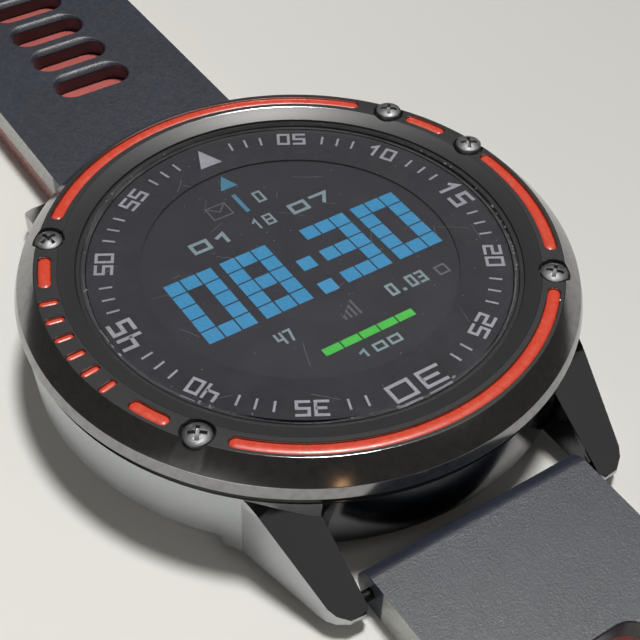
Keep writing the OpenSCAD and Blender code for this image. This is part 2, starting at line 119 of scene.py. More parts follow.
def make_world():
    """A dim room with soft glows. Straight views past the floor see plain pale grey."""
    world = bpy.data.worlds.new("room")
    bpy.context.scene.world = world
    world.use_nodes = True
    nt = world.node_tree
    nt.nodes.clear()
    out = nt.nodes.new("ShaderNodeOutputWorld")
    mix = nt.nodes.new("ShaderNodeMixShader")
    path = nt.nodes.new("ShaderNodeLightPath")
    room, plain = nt.nodes.new("ShaderNodeBackground"), nt.nodes.new("ShaderNodeBackground")
    where = nt.nodes.new("ShaderNodeTexCoord")
    total = None
    for heading, elevation, width, glow in GLOWS:
        dot = nt.nodes.new("ShaderNodeVectorMath")
        dot.operation = "DOT_PRODUCT"
        dot.inputs[1].default_value = heading_vector(heading, elevation)
        fade = nt.nodes.new("ShaderNodeMapRange")
        fade.interpolation_type = "SMOOTHSTEP"
        fade.inputs["From Min"].default_value = math.cos(math.radians(width))
        fade.inputs["To Min"].default_value = 0.0 if total else ROOM_DIM
        fade.inputs["To Max"].default_value = glow
        nt.links.new(where.outputs["Generated"], dot.inputs[0])
        nt.links.new(dot.outputs["Value"], fade.inputs["Value"])
        if total:
            add = nt.nodes.new("ShaderNodeMath")
            nt.links.new(total, add.inputs[0])
            nt.links.new(fade.outputs["Result"], add.inputs[1])
            total = add.outputs[0]
        else:
            total = fade.outputs["Result"]
    plain.inputs[0].default_value = (*PALE, 1)
    nt.links.new(total, room.inputs["Strength"])
    room.inputs[0].default_value = (*ROOM_COLOUR, 1)
    nt.links.new(path.outputs["Is Camera Ray"], mix.inputs[0])
    nt.links.new(room.outputs[0], mix.inputs[1])
    nt.links.new(plain.outputs[0], mix.inputs[2])
    nt.links.new(mix.outputs[0], out.inputs[0])


# ---------- materials ----------


class Shader:
    """A procedural material with a Principled shader, and short ways to add its detail nodes."""

    def __init__(self, name, colour, metallic=0.0, roughness=0.5, **sockets):
        self.material = bpy.data.materials.new(name)
        self.material.use_nodes = True
        self.nt = self.material.node_tree
        self.p = self.nt.nodes["Principled BSDF"]
        self.p.inputs["Base Color"].default_value = (*colour, 1)
        self.p.inputs["Metallic"].default_value = metallic
        self.p.inputs["Roughness"].default_value = roughness
        for key, value in sockets.items():
            self.p.inputs[key.replace("_", " ")].default_value = value
        self.height = None

    def node(self, kind, **props):
        """A new shader node with some properties set."""
        made = self.nt.nodes.new(kind)
        for key, value in props.items():
            setattr(made, key, value)
        return made

    def axes(self):
        """Outputs X, Y and Z of the object coordinates, in metres."""
        where, split = self.node("ShaderNodeTexCoord"), self.node("ShaderNodeSeparateXYZ")
        self.nt.links.new(where.outputs["Object"], split.inputs[0])
        return split.outputs

    def beyond(self, axis, distance):
        """1 where the surface is further than this many millimetres from the middle along an axis."""
        return self.math("GREATER_THAN", self.math("ABSOLUTE", self.axes()[axis], 0), distance * MM)

    def coords(self, stretch=(1, 1, 1)):
        """Object coordinates in millimetres, times stretch."""
        where = self.node("ShaderNodeTexCoord")
        mapping = self.node("ShaderNodeMapping")
        mapping.inputs["Scale"].default_value = [1000 * s for s in stretch]
        self.nt.links.new(where.outputs["Object"], mapping.inputs["Vector"])
        return mapping.outputs["Vector"]

    def noise(self, size, detail=3.0, stretch=(1, 1, 1), rough=0.5):
        """Noise whose features are about size millimetres."""
        n = self.node("ShaderNodeTexNoise")
        n.inputs["Scale"].default_value = 1 / size
        n.inputs["Detail"].default_value = detail
        n.inputs["Roughness"].default_value = rough
        self.nt.links.new(self.coords(stretch), n.inputs["Vector"])
        return n.outputs["Fac"]

    def cells(self, size, feature="F1"):
        """Distance in a pattern of cells about size millimetres wide."""
        n = self.node("ShaderNodeTexVoronoi", feature=feature)
        n.inputs["Scale"].default_value = 1 / size
        self.nt.links.new(self.coords(), n.inputs["Vector"])
        return n.outputs["Distance"]

    def spread(self, source, low, high, start=0.3, stop=0.7):
        """Maps source from start..stop to low..high."""
        m = self.node("ShaderNodeMapRange")
        for key, value in (("From Min", start), ("From Max", stop), ("To Min", low), ("To Max", high)):
            m.inputs[key].default_value = value
        self.nt.links.new(source, m.inputs["Value"])
        return m.outputs["Result"]

    def math(self, operation, a, b):
        """Result of a Math node. a and b are numbers or outputs."""
        m = self.node("ShaderNodeMath", operation=operation)
        for slot, value in enumerate((a, b)):
            if isinstance(value, (int, float)):
                m.inputs[slot].default_value = value
            else:
                self.nt.links.new(value, m.inputs[slot])
        return m.outputs[0]

    def vary_roughness(self, source, low, high, start=0.3, stop=0.7):
        """Roughness from low to high as source goes from start to stop."""
        self.nt.links.new(self.spread(source, low, high, start, stop), self.p.inputs["Roughness"])

    def tint(self, source, colour, start=0.45, stop=0.7, amount=1.0):
        """Blends colour over the base where source is high."""
        mix = self.node("ShaderNodeMix", data_type="RGBA")
        old = self.p.inputs["Base Color"]
        if old.is_linked:
            self.nt.links.new(old.links[0].from_socket, mix.inputs["A"])
        else:
            mix.inputs["A"].default_value = old.default_value
        mix.inputs["B"].default_value = (*colour, 1)
        self.nt.links.new(self.spread(source, 0, amount, start, stop), mix.inputs["Factor"])
        self.nt.links.new(mix.outputs["Result"], old)

    def bump(self, source, depth):
        """Bump of the given depth in millimetres, chained onto earlier ones."""
        b = self.node("ShaderNodeBump")
        b.inputs["Strength"].default_value = 1.0
        b.inputs["Distance"].default_value = depth * MM
        self.nt.links.new(source, b.inputs["Height"])
        if self.height is not None:
            self.nt.links.new(self.height, b.inputs["Normal"])
        self.height = b.outputs["Normal"]
        self.nt.links.new(self.height, self.p.inputs["Normal"])

    def facing_side(self, limit):
        """1 where the surface is steeper than this, by the upward part of its normal."""
        facing, face_z = self.node("ShaderNodeNewGeometry"), self.node("ShaderNodeSeparateXYZ")
        self.nt.links.new(facing.outputs["True Normal"], face_z.inputs[0])
        return self.math("LESS_THAN", face_z.outputs["Z"], limit)

    def blend_roughness(self, mask, off, on):
        """Roughness off where mask is 0 and on where it is 1."""
        pick = self.node("ShaderNodeMix", data_type="FLOAT")
        for key, source in (("Factor", mask), ("A", off), ("B", on)):
            self.nt.links.new(source, pick.inputs[key])
        self.nt.links.new(pick.outputs["Result"], self.p.inputs["Roughness"])

    def level(self, z0, z1, top_only=0.0):
        """1 between two heights in millimetres, where the normal's upward part is at least top_only."""
        height = self.axes()["Z"]
        above = self.math("GREATER_THAN", height, z0 * MM)
        below = self.math("LESS_THAN", height, z1 * MM)
        mask = self.math("MULTIPLY", above, below)
        if top_only:
            steep = self.facing_side(top_only)
            mask = self.math("MULTIPLY", mask, self.math("SUBTRACT", 1.0, steep))
        return mask


def case_finish_and_painted_reflection():
    """Gloss black with faint handling smears. Outside the lugs the satin walls carry a pale grey painted
    reflection of the table and the ledge a pale painted highlight.
    """
    s = Shader("case_black", (0.07, 0.072, 0.078), 1.0, 0.1)
    # Outside the lugs: pale grey painted reflection on the walls and a pale painted highlight on the
    # ledge. Between the lugs the case stays gloss black.
    painted_light_zone = s.beyond("X", LUG_INNER_X)
    wall = s.math("MULTIPLY", s.facing_side(0.5), painted_light_zone)
    ledge_painted_highlight = s.math("MULTIPLY", s.level(*LEDGE_Z), painted_light_zone)
    s.tint(s.math("MAXIMUM", wall, ledge_painted_highlight), (0.52, 0.545, 0.56), 0, 1)
    gloss, satin = s.spread(s.noise(3.5, 4), 0.07, 0.16), s.spread(s.noise(2.5, 3), 0.36, 0.44)
    s.blend_roughness(wall, gloss, satin)
    s.bump(s.noise(0.25, 2, (1, 1, 8)), 0.001)
    return s.material


def bezel_finish(top_z, inner_r):
    """Black chrome bevels with scuffs, a matt flat at top_z and a dark satin slope inside inner_r."""
    chrome = (0.33, 0.335, 0.345)
    s = Shader("bezel_black", chrome, 1.0, 0.1)
    flat = s.level(top_z - 0.02, top_z + 0.02, 0.97)
    axes = s.axes()
    squares = [s.math("MULTIPLY", axes[name], axes[name]) for name in "XY"]
    slope = s.math("LESS_THAN", s.math("ADD", *squares), (inner_r * MM) ** 2)
    soft = s.math("MAXIMUM", flat, slope)
    grain = s.noise(0.16, 4, rough=0.7)
    s.tint(s.noise(0.7, 3), [c * 0.8 for c in chrome])
    s.tint(slope, (0.035, 0.036, 0.04), 0, 1)
    s.tint(flat, (0.02, 0.02, 0.0225), 0, 1)
    s.tint(s.math("MULTIPLY", flat, s.noise(0.14, 2)), (0.12, 0.12, 0.125), 0.66, 0.76, 0.8)
    s.nt.links.new(s.spread(soft, 1.0, 0.0, 0, 1), s.p.inputs["Metallic"])
    s.blend_roughness(flat, s.spread(slope, 0.14, 0.37, 0, 1), s.spread(grain, 0.5, 0.64))
    s.bump(s.math("MULTIPLY", grain, flat), 0.03)
    return s.material


def rubber(name, colour, low, high, wall_painted_light_colour, grain=0.03):
    """Matt silicone: fine leathery grain, painted sparkle highlights, and smoother outer walls in a
    painted light colour (a pale painted reflection on dark silicone, painted shade on red).
    """
    s = Shader(name, colour, 0.0, 0.5,
               Specular_IOR_Level=0.95, Sheen_Weight=0.16, Sheen_Roughness=0.45)
    s.p.inputs["Sheen Tint"].default_value = (0.62, 0.8, 1, 1)
    wall = s.facing_side(0.35)
    # The painted light colour goes only on outer walls beyond the lug tips. The walls between the lugs are
    # left to their real shade.
    painted_light_zone = s.math("MULTIPLY", s.beyond("X", STRAP_WALL_X), s.beyond("Y", LUG_TIP_Y))
    outer = s.math("MULTIPLY", wall, painted_light_zone)
    s.tint(s.noise(7, 4), [c * 1.2 + 0.002 for c in colour])
    # Light specks: painted highlights standing in for glints on the grain.
    s.tint(s.noise(0.1, 2), [c * 2.2 + 0.03 for c in colour], 0.66, 0.8, 0.8)
    s.tint(outer, wall_painted_light_colour, 0, 1)
    matt, smooth = s.spread(s.noise(0.5, 4), low, high), s.spread(s.noise(1.5, 3), 0.2, 0.3)
    s.blend_roughness(outer, matt, smooth)
    top = s.spread(wall, 1.0, 0.08, 0, 1)
    s.bump(s.math("MULTIPLY", top, s.noise(0.2, 3, rough=0.7)), grain)
    s.bump(s.math("MULTIPLY", top, s.noise(0.09, 2)), grain * 0.5)
    return s.material


def enamel():
    """Glossy red enamel with lighter flecks."""
    s = Shader("red_enamel", (0.76, 0.07, 0.036), 0.0, 0.3, Coat_Weight=0.3, Coat_Roughness=0.2)
    s.vary_roughness(s.noise(0.8, 4), 0.24, 0.42)
    s.tint(s.noise(0.5, 3), (0.84, 0.13, 0.07), 0.5, 0.75, 0.8)
    s.tint(s.noise(0.1, 2), (0.95, 0.42, 0.26), 0.64, 0.78, 0.6)
    s.bump(s.noise(0.3, 3), 0.012)
    return s.material


def brushed(name, colour, roughness):
    """Metal with fine brush lines."""
    stretch = (1, 6, 1)
    s = Shader(name, colour, 1.0, roughness)
    s.vary_roughness(s.noise(0.4, 4, stretch), roughness * 0.7, roughness * 1.4)
    s.tint(s.noise(1.5, 3), [c * 0.7 for c in colour])
    s.bump(s.noise(0.12, 3, stretch), 0.006)
    return s.material


def moulded(name, colour, roughness=0.45, size=0.5):
    """Moulded plastic whose surface varies over size millimetres."""
    s = Shader(name, colour, 0.0, roughness)
    s.vary_roughness(s.noise(size, 4), roughness * 0.75, roughness * 1.25)
    s.tint(s.noise(size * 6, 3), [c * 0.8 for c in colour])
    s.bump(s.noise(size * 0.3, 3), 0.01)
    return s.material


def circuit():
    """Green solder mask with lighter tracks and plated dots."""
    cell = 1.7
    s = Shader("circuit_green", (0.01, 0.11, 0.035), 0.0, 0.35, Coat_Weight=0.4)
    s.tint(s.cells(cell, "DISTANCE_TO_EDGE"), (0.03, 0.2, 0.07), 0.1, 0.04, 0.9)
    s.tint(s.cells(cell), (0.7, 0.5, 0.2), 0.16, 0.1)
    s.vary_roughness(s.noise(0.8, 3), 0.28, 0.45)
    s.bump(s.cells(cell, "DISTANCE_TO_EDGE"), 0.03)
    return s.material


def glass():
    """Clear mineral glass with specks of dust. Lamps reach the dial through it."""
    s = Shader("mineral_glass", (1, 1, 1), 0.0, 0.0, Transmission_Weight=1.0, IOR=1.5)
    s.vary_roughness(s.noise(6, 4), 0.0, 0.03, 0.45, 0.8)
    dust, dusty = s.node("ShaderNodeBsdfDiffuse"), s.node("ShaderNodeMixShader")
    dust.inputs["Color"].default_value = (0.75, 0.74, 0.7, 1)
    dots = s.spread(s.cells(0.9), 1, 0, 0.03, 0.06)
    patches = s.spread(s.noise(2.6, 2), 0, 1, 0.5, 0.56)
    specks = s.math("MULTIPLY", dots, patches)
    s.nt.links.new(s.math("MULTIPLY", specks, 0.55), dusty.inputs[0])
    s.nt.links.new(s.p.outputs[0], dusty.inputs[1])
    s.nt.links.new(dust.outputs[0], dusty.inputs[2])
    clear, mix = s.node("ShaderNodeBsdfTransparent"), s.node("ShaderNodeMixShader")
    path, out = s.node("ShaderNodeLightPath"), s.nt.nodes["Material Output"]
    through = s.math("MAXIMUM", path.outputs["Is Shadow Ray"], path.outputs["Is Diffuse Ray"])
    s.nt.links.new(through, mix.inputs[0])
    s.nt.links.new(dusty.outputs[0], mix.inputs[1])
    s.nt.links.new(clear.outputs[0], mix.inputs[2])
    s.nt.links.new(mix.outputs[0], out.inputs["Surface"])
    return s.material


def lit(name, colour, glow):
    """Screen segment that glows a little, with the screen's fine dot structure."""
    base = 0.3
    s = Shader(name, [c * base for c in colour], 0.0, 0.4)
    s.p.inputs["Emission Color"].default_value = (*colour, 1)
    s.p.inputs["Emission Strength"].default_value = glow
    s.tint(s.noise(0.3, 2), [c * base * 0.6 for c in colour])
    s.bump(s.cells(0.12), 0.002)
    return s.material


def printed(name, colour):
    """Matt print with slightly uneven ink."""
    s = Shader(name, colour, 0.0, 0.5)
    s.tint(s.noise(0.25, 3), [c * 0.8 for c in colour], 0.4, 0.7)
    s.bump(s.noise(0.1, 2), 0.004)
    return s.material


def floor_paint():
    """Plain pale table with painted light falloff, a little darker towards +X."""
    s = Shader("floor_pale", PALE, 0.0, 0.65)
    s.tint(s.axes()["X"], [c * 0.74 for c in PALE], -50 * MM, 80 * MM)
    s.bump(s.noise(0.8, 3), 0.01)
    s.vary_roughness(s.noise(4, 3), 0.58, 0.7)
    return s.material


# ---------- mesh helpers, in millimetres ----------


def add_mesh(name, verts, faces, material):
    """A new flat-shaded object from vertices in millimetres."""
    mesh = bpy.data.meshes.new(name)
    mesh.from_pydata([[c * MM for c in v] for v in verts], [], faces)
    bm = bmesh.new()
    bm.from_mesh(mesh)
    bmesh.ops.recalc_face_normals(bm, faces=bm.faces)
    bm.to_mesh(mesh)
    bm.free()
    mesh.materials.append(material)
    for face in mesh.polygons:
        face.use_smooth = False
    made = bpy.data.objects.new(name, mesh)
    bpy.context.scene.collection.objects.link(made)
    return made


def merge(parts):
    """Joins [(verts, faces), ...] into one pair."""
    verts, faces = [], []
    for v, f in parts:
        faces += [[i + len(verts) for i in face] for face in f]
        verts += v
    return verts, faces


def prism(outline, z0, z1):
    """Closed slab from a convex outline of (x, y)."""
    n = len(outline)
    verts = [(x, y, z0) for x, y in outline] + [(x, y, z1) for x, y in outline]
    faces = [list(range(n))[::-1], [n + i for i in range(n)]]
    faces += [[i, (i + 1) % n, n + (i + 1) % n, n + i] for i in range(n)]
    return verts, faces


def turned(levels, segments, closed=False):
    """Body of revolution from (r, z) points, with end caps unless the profile is closed."""
    n, m = len(levels), segments
    angles = [2 * math.pi * k / m for k in range(m)]
    verts = [(r * math.cos(a), r * math.sin(a), z) for r, z in levels for a in angles]
    faces = [[i * m + k, i * m + (k + 1) % m, (i + 1) % n * m + (k + 1) % m, (i + 1) % n * m + k]
             for i in range(n if closed else n - 1) for k in range(m)]
    if not closed:
        faces += [list(range(m))[::-1], [(n - 1) * m + k for k in range(m)]]
    return verts, faces


def fillet(corners):
    """Rounds the corners of a closed outline given as (x, y, radius)."""
    steps, points = 4, []
    for i, (x, y, radius) in enumerate(corners):
        p = Vector((x, y))
        if not radius:
            points.append((x, y))
            continue
        back = (Vector(corners[i - 1][:2]) - p).normalized()
        ahead = (Vector(corners[(i + 1) % len(corners)][:2]) - p).normalized()
        half = back.angle(ahead) / 2
        centre = p + (back + ahead).normalized() * radius / math.sin(half)
        reach = radius / math.tan(half)
        first, last = p + back * reach - centre, p + ahead * reach - centre
        sweep = math.pi - 2 * half
        if first.x * last.y - first.y * last.x < 0:
            sweep = -sweep
        points += [tuple(centre + Matrix.Rotation(sweep * k / steps, 2) @ first)
                   for k in range(steps + 1)]
    return points


def carve(made, cutter):
    """Cuts cutter out of made and deletes it."""
    cut = made.modifiers.new("carve", "BOOLEAN")
    cut.object, cut.solver, cut.operation = cutter, "EXACT", "DIFFERENCE"
    solved = made.evaluated_get(bpy.context.evaluated_depsgraph_get())
    mesh = bpy.data.meshes.new_from_object(solved)
    made.modifiers.clear()
    made.data = mesh
    bpy.data.objects.remove(cutter)


def soften(made, degrees):
    """Smooth shading, except over edges sharper than this."""
    bm = bmesh.new()
    bm.from_mesh(made.data)
    for face in bm.faces:
        face.smooth = True
    for edge in bm.edges:
        edge.smooth = edge.calc_face_angle(0) < math.radians(degrees)
    bm.to_mesh(made.data)
    bm.free()


def stroke(points, width, z0, z1, closed=False):
    """Closed slab along a polyline, with mitred corners."""
    n = len(points)
    left, right = [], []
    for i, p in enumerate(points):
        before = points[i - 1] if (closed or i) else None
        after = points[(i + 1) % n] if (closed or i < n - 1) else None
        dirs = []
        if before is not None:
            dirs.append((Vector(p) - Vector(before)).normalized())
        if after is not None:
            dirs.append((Vector(after) - Vector(p)).normalized())
        mean = sum(dirs, Vector((0, 0))).normalized()
        normal = Vector((-mean.y, mean.x))
        reach = width / 2 / max(0.4, normal.dot(Vector((-dirs[0].y, dirs[0].x))))
        left.append(Vector(p) + normal * reach)
        right.append(Vector(p) - normal * reach)
    verts = [(*q, z) for z in (z0, z1) for q in left + right]
    faces = []
    for i in range(n if closed else n - 1):
        j = (i + 1) % n
        a, b, c, d = i, j, n + j, n + i
        faces += [[a, d, c, b], [2 * n + d, 2 * n + c, 2 * n + b, 2 * n + a]]
        faces += [[a, b, 2 * n + b, 2 * n + a], [d, 2 * n + d, 2 * n + c, c]]
    if not closed:
        faces += [[0, 2 * n, 3 * n, n], [n - 1, 2 * n - 1, 4 * n - 1, 3 * n - 1]]
    return verts, faces


# Strokes of the squared digits in a box one wide and one high
LOOP = [(0, 0), (0, 1), (1, 1), (1, 0)]
DIGITS = {
    "0": [(LOOP, True)],
    "1": [([(0.15, 0.72), (0.6, 1), (0.6, 0)], False)],
    "2": [([(0, 1), (1, 1), (1, 0.5), (0, 0.5), (0, 0), (1, 0)], False)],
    "3": [([(0, 1), (1, 1), (1, 0), (0, 0)], False), ([(0.2, 0.5), (0.9, 0.5)], False)],
    "4": [([(0, 1), (0, 0.42), (0.9, 0.42)], False), ([(1, 1), (1, 0)], False)],
    "5": [([(1, 1), (0, 1), (0, 0.5), (1, 0.5), (1, 0), (0, 0)], False)],
    "7": [([(0, 1), (1, 1), (0.55, 0)], False)],
    "8": [(LOOP, True), ([(0.1, 0.5), (0.9, 0.5)], False)],
}


def place(parts, turn=0.0, centre=(0, 0)):
    """Turns (verts, faces) clockwise about z by degrees and moves it."""
    c, s = math.cos(math.radians(-turn)), math.sin(math.radians(-turn))
    verts, faces = parts
    moved = [(x * c - y * s + centre[0], x * s + y * c + centre[1], z) for x, y, z in verts]
    return moved, faces


def digits(text, width, height, gap, line, z0, z1):
    """Squared digits centred on the origin. width is that of one digit."""
    total = len(text) * width + (len(text) - 1) * gap
    parts = []
    for i, mark in enumerate(text):
        x0 = -total / 2 + i * (width + gap) + line / 2
        if mark == ".":
            dot = 0.17
            corners = [(-dot, -dot), (dot, -dot), (dot, dot), (-dot, dot)]
            parts.append(place(prism(corners, z0, z1), 0, (x0 + width * 0.3, -height / 2 + dot)))
            continue
        for points, closed in DIGITS[mark]:
            at = [(x0 + x * (width - line), -height / 2 + line / 2 + y * (height - line))
                  for x, y in points]
            if not closed:
                at = lengthen(at, line / 2)
            parts.append(stroke(at, line, z0, z1, closed))
    return merge(parts)


def lengthen(points, by):
    """Moves both ends of a polyline outwards."""
    a, b = Vector(points[0]), Vector(points[1])
    y, z = Vector(points[-2]), Vector(points[-1])
    first, last = a + (a - b).normalized() * by, z + (z - y).normalized() * by
    return [tuple(first)] + list(points[1:-1]) + [tuple(last)]


def clock(angle, r):
    """Point at radius r and an angle in degrees clockwise from 12 o'clock."""
    return (r * math.sin(math.radians(angle)), r * math.cos(math.radians(angle)))


# ---------- CAD nodes ----------


def round_edges(node, width, segments=2):
    """Softens a CAD node's sharp edges by width millimetres."""
    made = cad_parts[node]
    weld = made.modifiers.new("weld", "WELD")
    weld.merge_threshold = 0.002 * MM
    bevel = made.modifiers.new("bevel", "BEVEL")
    bevel.width, bevel.segments = width * MM, segments
    bevel.limit_method, bevel.angle_limit = "ANGLE", math.radians(32)
    bevel.use_clamp_overlap = True
    weigh_normals(made)


def weigh_normals(made):
    """Lets large faces set the shading where they meet a rounded edge."""
    normals = made.modifiers.new("normals", "WEIGHTED_NORMAL")
    normals.weight, normals.keep_sharp = 60, False


def paint(material, *nodes):
    """Gives CAD nodes a material."""
    for name in nodes:
        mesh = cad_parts[name].data
        mesh.materials.clear()
        mesh.materials.append(material)


def finish_nodes():
    """Materials and softened edges of the CAD nodes, apart from the strap loops."""
    steel = brushed("steel_satin", (0.5, 0.5, 0.5), 0.3)
    plastic = moulded("plastic_black", (0.02, 0.02, 0.022))
    seal = moulded("seal_black", (0.012, 0.012, 0.012), 0.6, 0.2)
    paint(case_finish_and_painted_reflection(), "case_body")
    paint(glass(), "crystal")
    paint(brushed("screw_gunmetal", (0.27, 0.27, 0.28), 0.5), "bezel_screws")
    paint(moulded("caseback_black", (0.03, 0.03, 0.032), 0.4), "caseback")
    paint(steel, "caseback_screws", "motor_can", "crown_clip")
    # Spring bars and their tips are painted near black: painted shade for the dark gap between the lugs
    # and the strap.
    paint(brushed("spring_bar_steel_painted_shade", (0.025, 0.025, 0.025), 0.5), "spring_bar_12", "spring_bar_6",
          "bar_tip_12_left", "bar_tip_12_right", "bar_tip_6_left", "bar_tip_6_right")
    paint(brushed("buckle_steel", (0.09, 0.09, 0.095), 0.25), "buckle_frame", "buckle_pin", "buckle_tang")
    paint(brushed("crown_black", (0.14, 0.14, 0.15), 0.25), "crown")
    paint(seal, "crystal_gasket", "caseback_gasket", "crown_seal")
    paint(plastic, "display_frame", "crown_switch")
    paint(moulded("chip_black", (0.025, 0.025, 0.027), 0.5, 0.15), "board_chips")
    paint(moulded("diffuser_white", (0.8, 0.8, 0.78), 0.4), "backlight")
    paint(moulded("flex_amber", (0.35, 0.14, 0.02), 0.35), "display_flex")
    paint(circuit(), "main_board", "sensor_board")
    paint(brushed("battery_silver", (0.6, 0.6, 0.62), 0.35), "battery")
    paint(moulded("led_green", (0.05, 0.4, 0.12), 0.2, 0.2), "sensor_leds")
    paint(moulded("window_dark", (0.03, 0.008, 0.012), 0.12, 1.0), "sensor_window")
    paint(brushed("contact_gold", (0.8, 0.55, 0.22), 0.25), "charging_contacts")
    paint(brushed("motor_tungsten", (0.4, 0.4, 0.42), 0.35), "motor_weight")
    dial = Shader("dial_black", (0.022, 0.022, 0.028), 0.0, 0.6, Specular_IOR_Level=0.1)
    dial.vary_roughness(dial.noise(0.8, 4), 0.5, 0.7)
    dial.tint(dial.noise(3, 4), (0.027, 0.027, 0.034))
    dial.bump(dial.noise(0.1, 2), 0.004)
    paint(dial.material, "dial_plate")
    screen = Shader("screen_off", (0.026, 0.026, 0.033), 0.0, 0.5, Specular_IOR_Level=0.1)
    screen.tint(screen.noise(5, 3), (0.031, 0.031, 0.039))
    screen.bump(screen.cells(0.12), 0.002)
    screen.vary_roughness(screen.noise(2, 3), 0.38, 0.5)
    paint(screen.material, "lcd_panel")
    widths = {"case_body": 0.12, "caseback": 0.1, "crown": 0.1, "bezel_screws": 0.06,
              "caseback_screws": 0.04, "buckle_frame": 0.3, "buckle_tang": 0.2,
              "crystal_gasket": 0.03, "charging_contacts": 0.08, "sensor_window": 0.08}
    for name, width in widths.items():
        round_edges(name, width)


# ---------- bezel and its red enamel, in millimetres and degrees ----------

BEZEL_TOP, INNER_SLOPE_R = 11.75, 21.25
RING_SEGMENTS, RECESS_SEGMENTS = 288, 64
GROOVE_R, GROOVE_HALF, GROOVE_FLOOR = 22.38, 0.555, 11.2
MARK_RADII, MARK_HALF = (21.85, 22.35, 22.85), 0.335
RECESS_R, RECESS_FLOOR = 1.45, 11.1
ENAMEL_EDGE_DROP, ENAMEL_RISE = 0.2, 0.19
CUT_GAP = 0.01
GROOVES = [(-45.8, 46.5), (62.3, 70.2), (85.7, 120), (135.5, 226), (241.8, 248.5), (291.3, 298.5)]
MARKS = [256.5 + 5.7 * i for i in range(6)]
SCREWS = [56, 79.5, 128.5, 234, 306]
# Corners of the bezel's section as (radius from the middle, height, rounding)
BEZEL_SECTION = [
    (20.9, 8.25, 0), (24.2, 8.25, 0), (24.2, 8.8, 0), (25.05, 8.8, 0.05), (25.25, 9, 0.12),
    (24.95, 10, 0.2), (23.3, 11.75, 0.12), (21.3, 11.75, 0.1), (19.82, 11.2, 0.06), (19.82, 10.1, 0),
    (19, 10.1, 0), (19, 9.4, 0), (20.9, 9.4, 0)]


def bar_solid(spine, sides, levels):
    """A solid with round ends along spine points (x, y) whose left-hand normals are sides.

    levels are (half width, height) pairs from the bottom up."""
    end_steps = 8

    def outline(d):
        """Points round the bar at half width d."""
        loop = []
        for way in (1, -1):
            points, normals = spine[::way], [Vector(n) * way for n in sides[::way]]
            loop += [Vector(p) + n * d for p, n in zip(points, normals)]
            turns = [Matrix.Rotation(-math.pi * i / end_steps, 2) for i in range(1, end_steps)]
            loop += [Vector(points[-1]) + turn @ normals[-1] * d for turn in turns]
        return loop

    verts, faces = [], []
    for d, z in levels:
        verts += [(p.x, p.y, z) for p in outline(d)]
    n = len(verts) // len(levels)
    for k in range(len(levels) - 1):
        faces += [[k * n + i, (k + 1) * n + i, (k + 1) * n + (i + 1) % n, k * n + (i + 1) % n]
                  for i in range(n)]
    faces += [list(range(n)), [(len(levels) - 1) * n + i for i in range(n)][::-1]]
    return verts, faces


def domed(half, z_floor, z_edge):
    """Levels of a bar with an elliptical top."""
    rings = 5
    curve = [math.pi / 2 * k / rings for k in range(1, rings)]
    return ([(half, z_floor), (half, z_edge)]
            + [(half * math.cos(a), z_edge + ENAMEL_RISE * math.sin(a)) for a in curve]
            + [(half * 0.02, z_edge + ENAMEL_RISE)])


def groove_bars(levels):
    """The red curved bars, each with the given levels."""
    parts = []
    for start, stop in GROOVES:
        steps = max(8, int(abs(stop - start) * 1.2))
        angles = [start + (stop - start) * i / steps for i in range(steps + 1)]
        parts.append(bar_solid([clock(a, GROOVE_R) for a in angles],
                               [clock(a, 1) for a in angles], levels))
    return parts


def mark_bars(levels):
    """The six short radial marks, each with the given levels."""
    return [bar_solid([clock(a, r) for r in MARK_RADII], [clock(a - 90, 1)] * len(MARK_RADII), levels)
            for a in MARKS]


def make_bezel():
    """Turned ring with rounded edges, moulded grooves and flared screw recesses."""
    finish = bezel_finish(BEZEL_TOP, INNER_SLOPE_R)
    made = add_mesh("bezel_ring", *turned(fillet(BEZEL_SECTION), RING_SEGMENTS, True), finish)

    def flared(half, floor):
        """Levels of a cutter that widens a little at the bezel's top."""
        return [(half, floor), (half, BEZEL_TOP - 0.05), (half + 0.07, BEZEL_TOP + 0.02),
                (half + 0.07, BEZEL_TOP + 0.6)]

    parts = groove_bars(flared(GROOVE_HALF + CUT_GAP, GROOVE_FLOOR))
    parts += mark_bars(flared(MARK_HALF + CUT_GAP, GROOVE_FLOOR))
    for angle in SCREWS:
        recess = turned(flared(RECESS_R, RECESS_FLOOR), RECESS_SEGMENTS)
        parts.append(place(recess, 0, clock(angle, GROOVE_R)))
    carve(made, add_mesh("bezel_cutter", *merge(parts), finish))
    soften(made, 22)
    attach(made, "case")
    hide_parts("bezel")


def make_enamel():
    """Domed beads of enamel in the bezel's grooves."""
    low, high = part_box("bezel_inlays")
    z_floor, z_edge = low.z / MM + 0.01, high.z / MM - ENAMEL_EDGE_DROP
    parts = groove_bars(domed(GROOVE_HALF, z_floor, z_edge))
    parts += mark_bars(domed(MARK_HALF, z_floor, z_edge))
    made = add_mesh("enamel_beads", *merge(parts), enamel())
    soften(made, 60)
    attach(made, "case")
    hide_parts("bezel_inlays")


# ---------- printed dial, worn glass and lit screen, in millimetres ----------

INK_T, SCRATCH_T = 0.02, 0.004
NUMERAL_R = 17.35
TICK_HALF, TICK_R0, TICK_R1 = 0.1, 16.75, 17.9
TRIANGLE = ((-1.15, 15.6), (1.15, 15.6), (0, 18.2))
HAIRS, HAIR_REACH = 26, 18
CHIPS_NEAR_4, CHIPS_ROUND, CHIP_R = 16, 22, 19.12
# Blocks of the time: size, spacing and the height of the top row, then each digit's left edge
BLOCK, BLOCK_PITCH, TIME_TOP = 1.47, 1.635, 3.5
TIME = (("0", -11.97), ("8", -6.33), ("3", 2.10), ("0", 7.70))
BLOCK_MAPS = {"0": ("111", "101", "101", "101", "111"), "8": ("111", "101", "111", "101", "111"),
              "3": ("111", "001", "111", "001", "111")}
